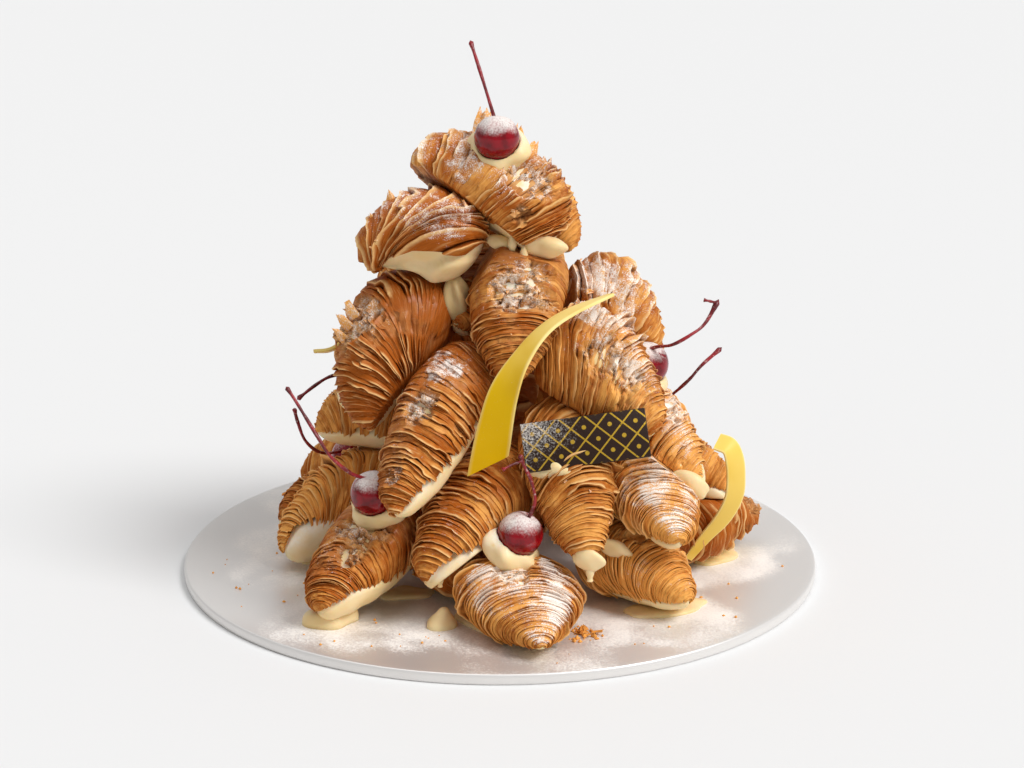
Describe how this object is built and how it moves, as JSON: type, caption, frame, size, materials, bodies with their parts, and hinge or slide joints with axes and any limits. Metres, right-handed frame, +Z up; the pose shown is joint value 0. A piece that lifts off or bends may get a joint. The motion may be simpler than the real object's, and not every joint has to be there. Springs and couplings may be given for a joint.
{
  "type": "croquembouche",
  "caption": "Tower of cream-filled lobster-tail pastries with stemmed cherries, yellow chocolate curls and a dark plaque, on a round silver cake board",
  "frame": {"origin": "middle of the cake board's underside, on the surface that it stands on", "axes": "+Z up through the tower, -Y to the front with the plaque and the front curl, +X to the right seen from the front"},
  "size_m": [0.305, 0.305, 0.2582],
  "materials": {
    "pastry": "baked flaky dough, golden brown, dusted with sugar",
    "cream": "soft pale custard cream",
    "cherry": "glossy dark red fruit with a thin red stem",
    "yellow_chocolate": "smooth tempered chocolate with a satin gloss",
    "dark_chocolate": "dark chocolate with a gold lattice print",
    "foil_board": "satin silver foil over card"
  },
  "bodies": {
    "root": {"board": "foil_board", "cherry_front": "cherry", "cherry_left": "cherry", "cherry_left_low": "cherry", "cherry_left_rear": "cherry", "cherry_right": "cherry", "cherry_right_rear": "cherry", "cherry_top": "cherry", "cream_drop": "cream", "cream_plaque": "cream", "cream_swirl": "cream", "curl_front": "yellow_chocolate", "curl_left": "yellow_chocolate", "curl_right": "yellow_chocolate", "pastry_big_left": "pastry", "pastry_big_right": "pastry", "pastry_centre_high": "pastry", "pastry_centre_left": "pastry", "pastry_centre_right": "pastry", "pastry_clam": "pastry", "pastry_core_high": "pastry", "pastry_core_low": "pastry", "pastry_core_mid": "pastry", "pastry_crown": "pastry", "pastry_crown_right": "pastry", "pastry_front": "pastry", "pastry_front_left": "pastry", "pastry_front_low": "pastry", "pastry_front_right": "pastry", "pastry_left": "pastry", "pastry_left_far": "pastry", "pastry_left_mid": "pastry", "pastry_left_rear": "pastry", "pastry_long_left": "pastry", "pastry_plaque_bearer": "pastry", "pastry_rear": "pastry", "pastry_rear_high": "pastry", "pastry_rear_left": "pastry", "pastry_rear_left_high": "pastry", "pastry_rear_left_mid": "pastry", "pastry_rear_left_top": "pastry", "pastry_rear_mid": "pastry", "pastry_rear_right": "pastry", "pastry_rear_right_high": "pastry", "pastry_rear_top": "pastry", "pastry_right": "pastry", "pastry_right_high": "pastry", "pastry_right_lean": "pastry", "pastry_right_mid": "pastry", "pastry_right_rear": "pastry", "pastry_right_rear_mid": "pastry", "plaque": "dark_chocolate", "rosette_front": "cream", "rosette_left": "cream", "rosette_left_low": "cream", "rosette_left_rear": "cream", "rosette_right": "cream", "rosette_right_rear": "cream", "rosette_top": "cream"}
  },
  "joints": []
}
